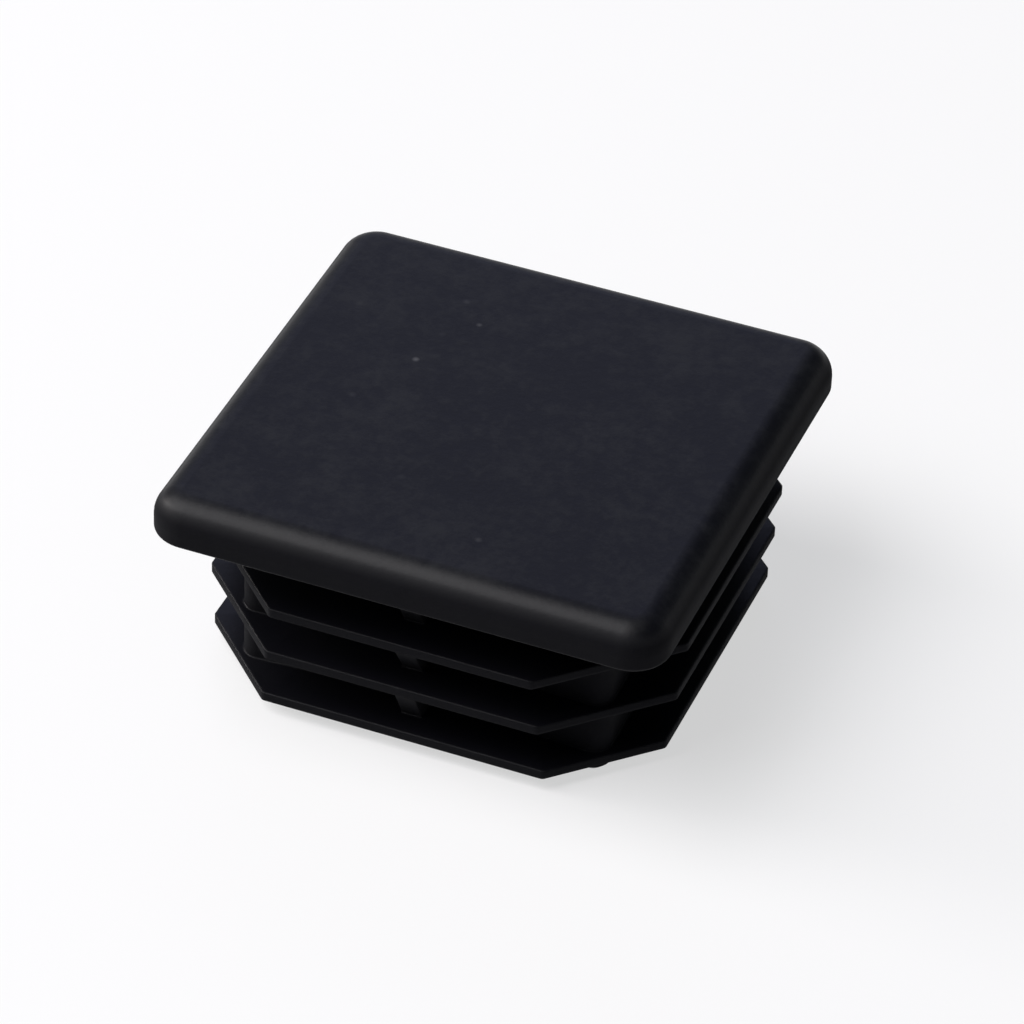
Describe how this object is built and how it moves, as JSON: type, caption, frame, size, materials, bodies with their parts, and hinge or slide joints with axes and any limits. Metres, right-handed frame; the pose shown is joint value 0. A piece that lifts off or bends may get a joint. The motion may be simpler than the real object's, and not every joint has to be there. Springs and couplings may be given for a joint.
{
  "type": "tube end cap",
  "caption": "Square push-in end cap for a 40 mm square tube: flat head with rounded edges over a hollow core ringed by thin octagonal gripping ribs.",
  "frame": {"origin": "middle of the core's open rim, the plane that the loose cap stands on", "axes": "+Z out of the tube, from the rim towards the top of the head; +X and +Y square to the sides of the head"},
  "size_m": [0.04, 0.04, 0.0183],
  "materials": {
    "black_plastic": "satin black as moulded, with a very fine even grain"
  },
  "bodies": {
    "root": {"ribbed_end_cap": "black_plastic"}
  },
  "joints": []
}
